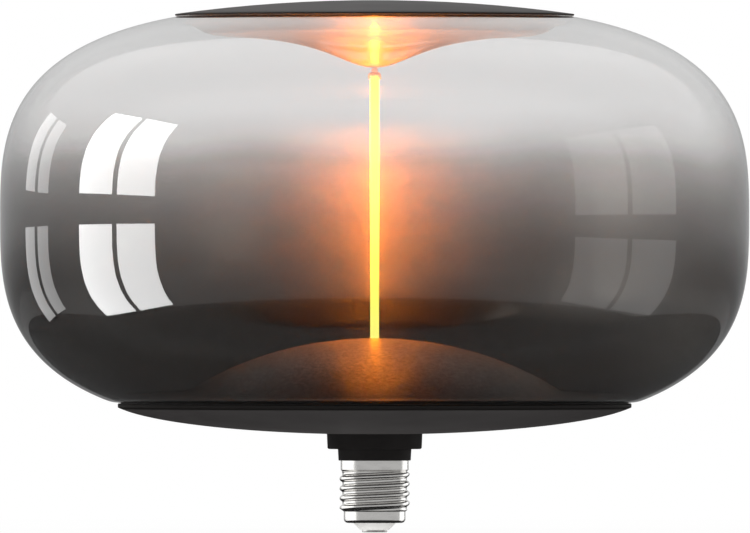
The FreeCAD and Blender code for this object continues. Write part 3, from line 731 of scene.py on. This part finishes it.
def make_floor():
    mesh_data = bmesh.new()
    bmesh.ops.create_grid(mesh_data, x_segments=1, y_segments=1, size=FLOOR_HALF)
    mesh = bpy.data.meshes.new("studio_floor")
    mesh_data.to_mesh(mesh)
    mesh_data.free()
    mesh.materials.append(make_floor_finish())
    floor = bpy.data.objects.new("studio_floor", mesh)
    floor.location.z = -FLOOR_DROP
    floor.visible_glossy = False
    bpy.context.scene.collection.objects.link(floor)


def make_world():
    world = bpy.data.worlds.new("studio")
    bpy.context.scene.world = world
    world.use_nodes = True
    tree = world.node_tree
    tree.nodes.clear()
    facing = put(tree, "ShaderNodeTexCoord").outputs["Generated"]
    _, depth, rise = put(tree, "ShaderNodeSeparateXYZ", {0: facing}).outputs
    back = ramp(
        tree, between(tree, rise, -1.0, 1.0), [((place + 1) / 2, grey) for place, grey in BACK_GREYS])
    front = rgba((FRONT_GREY, FRONT_GREY, FRONT_GREY))
    turned = between(tree, depth, *BACK_START)
    wall = put(tree, "ShaderNodeMix", {0: turned, 6: front, 7: back}, data_type="RGBA").outputs[2]
    behind = maths(tree, "MAXIMUM", maths(tree, "SUBTRACT", depth, LOW_EDGE_START), 0.0)
    edge = maths(tree, "MULTIPLY_ADD", behind, LOW_EDGE_RISE, LOW_EDGE)
    above = maths(tree, "GREATER_THAN", rise, edge)
    low = rgba((LOW_GREY, LOW_GREY, LOW_GREY))
    mirrored = put(tree, "ShaderNodeMix", {0: above, 6: low, 7: wall}, data_type="RGBA").outputs[2]
    soft = rgba((SOFT_GREY, SOFT_GREY, SOFT_GREY))
    path = put(tree, "ShaderNodeLightPath").outputs
    in_mirror = maths(tree, "MAXIMUM", path["Is Glossy Ray"], path["Is Transmission Ray"])
    tone = put(tree, "ShaderNodeMix", {0: in_mirror, 6: soft, 7: mirrored}, data_type="RGBA").outputs[2]
    colour = put(
        tree, "ShaderNodeMix", {0: seen_directly(tree), 6: tone, 7: rgba(WHITE)}, data_type="RGBA"
    ).outputs[2]
    shine = put(tree, "ShaderNodeBackground", {"Color": colour, "Strength": 1.0}).outputs[0]
    put(tree, "ShaderNodeOutputWorld", {"Surface": shine})


def soft_lamp(name, place, target, width, height, radiance, glints=False, onto=None):
    """A rectangular lamp at a place in metres that faces a target, with its plain radiance.

    glints makes one that only shows as a reflection, and onto keeps it to a set of objects.
    """
    data = bpy.data.lights.new(name, "AREA")
    data.shape = "RECTANGLE"
    data.size, data.size_y = width, height
    data.energy = radiance * math.pi * width * height
    lamp = bpy.data.objects.new(name, data)
    lamp.location = place
    lamp.rotation_euler = (Vector(target) - Vector(place)).to_track_quat("-Z", "Y").to_euler()
    lamp.visible_camera = False
    lamp.visible_transmission = False
    lamp.visible_diffuse = not glints
    lamp.visible_glossy = glints
    bpy.context.scene.collection.objects.link(lamp)
    if onto:
        lamp.light_linking.receiver_collection = onto


def fading(tree, reach, ends):
    """1 nearer than the first of two distances in millimetres, easing to 0 at the second."""
    return maths(tree, "POWER", between(tree, reach, ends[0] * MM, ends[1] * MM, 1.0, 0.0), 2.0)


def glow_lamp(number):
    """One of the small lamps along the filament that light the films, stronger on the near ones."""
    data = bpy.data.lights.new(f"filament glow {number}", "POINT")
    data.energy = GLOW_POWER
    data.color = GLOW
    data.shadow_soft_size = GLOW_LAMP_R * MM
    data.cycles.use_multiple_importance_sampling = False
    data.use_nodes = True
    tree = data.node_tree
    tree.nodes.clear()
    reach = put(tree, "ShaderNodeLightPath").outputs["Ray Length"]
    near = fading(tree, reach, NEAR_REACH)
    close = fading(tree, reach, CLOSE_REACH)
    gain = maths(tree, "MULTIPLY_ADD", near, NEAR_GAIN - 1, 1.0)
    gain = maths(tree, "MULTIPLY_ADD", close, CLOSE_GAIN, gain)
    light = put(tree, "ShaderNodeEmission", {"Color": rgba(WHITE), "Strength": gain}).outputs[0]
    put(tree, "ShaderNodeOutputLight", {0: light})
    lamp = bpy.data.objects.new(data.name, data)
    lamp.location.z = (GLOW_LOW_Z + (number + 0.5) * (GLOW_HIGH_Z - GLOW_LOW_Z) / GLOW_LAMPS) * MM
    lamp.visible_camera = False
    lamp.visible_transmission = False
    bpy.context.scene.collection.objects.link(lamp)


def group_of(name, members):
    """A set of objects that a lamp can be kept to."""
    kept = bpy.data.collections.new(name)
    for member in members:
        kept.objects.link(member)
    return kept


PANE_REACH = 12.0
PANE_GAP = 1.0


def window(name, middle, half_width, rows, radiance, onto):
    """Two panes side by side in each row, given by their angles in degrees from the globe's equator.

    middle is the way to the window, 0 towards the camera and 90 to the right. rows holds (low, high).
    """
    turn = math.radians(middle)
    way = Vector((math.sin(turn), -math.cos(turn), 0.0))
    across = Vector((math.cos(turn), math.sin(turn), 0.0))
    level = EQUATOR_Z * MM
    inner, outer = (PANE_REACH * math.tan(math.radians(angle)) for angle in (PANE_GAP, half_width))
    for row, (low, high) in enumerate(rows):
        low, high = (PANE_REACH * math.tan(math.radians(angle)) for angle in (low, high))
        for column, side in enumerate((-1, 1)):
            place = way * PANE_REACH + across * side * (inner + outer) / 2
            place.z = level + (low + high) / 2
            target = place - way
            label = f"{name} pane {row} {column}"
            soft_lamp(label, place, target, outer - inner, high - low, radiance, True, onto)


make_floor()
make_world()
soft_lamp("overhead", (0.0, -0.4, 2.0), (0, 0, 0.1), 1.6, 1.2, 1.3)
soft_lamp("left key", (-2.2, -1.6, 1.2), (0, 0, 0.12), 0.9, 1.2, 3.5)
soft_lamp("card under the cap", (0, 0, 0.0003), (0, 0, 1), 0.12, 0.12, 0.6)
for number in range(GLOW_LAMPS):
    glow_lamp(number)
globe_only = group_of("globe only", [bpy.data.objects["glass_globe_blown"]])
metal_only = group_of(
    "metal only", [NODES[name] for name in ("screw_shell", "centre_contact", "cap_insulator")])
window("left window", -87.0, 16.0, [(1.9, 32.5), (-28.6, -0.1)], 16.0, globe_only)
window("far left window", -128.0, 8.0, [(1.5, 20.0), (-19.2, -0.1)], 2.5, globe_only)
window("right window", 85.0, 21.0, [(0.2, 25.0), (-28.0, -1.5)], 1.0, globe_only)
soft_lamp("left card", (-2.84, 0.98, 0.1), (0, 0, 0.02), 4.2, 3.0, 1.0, True, metal_only)
soft_lamp("right card", (2.36, 1.85, 0.1), (0, 0, 0.02), 2.0, 3.0, 1.0, True, metal_only)


# Camera straight on, from far away

LENS = 1150.0
SENSOR = 36.0
PHOTO_WIDTH = 0.28029
CAMERA_Z = 0.0993
CENTRE_SHIFT = 0.0005

distance = PHOTO_WIDTH * LENS / SENSOR
camera_data = bpy.data.cameras.new("camera")
camera_data.lens = LENS
camera_data.sensor_width = SENSOR
camera_data.shift_x = CENTRE_SHIFT
camera_data.clip_start = 1.0
camera_data.clip_end = 60.0
camera = bpy.data.objects.new("camera", camera_data)
camera.location = (0.0, -distance, CAMERA_Z)
camera.rotation_euler = (math.radians(90), 0.0, 0.0)
bpy.context.scene.collection.objects.link(camera)
bpy.context.scene.camera = camera
bpy.context.scene.view_settings.view_transform = "Standard"
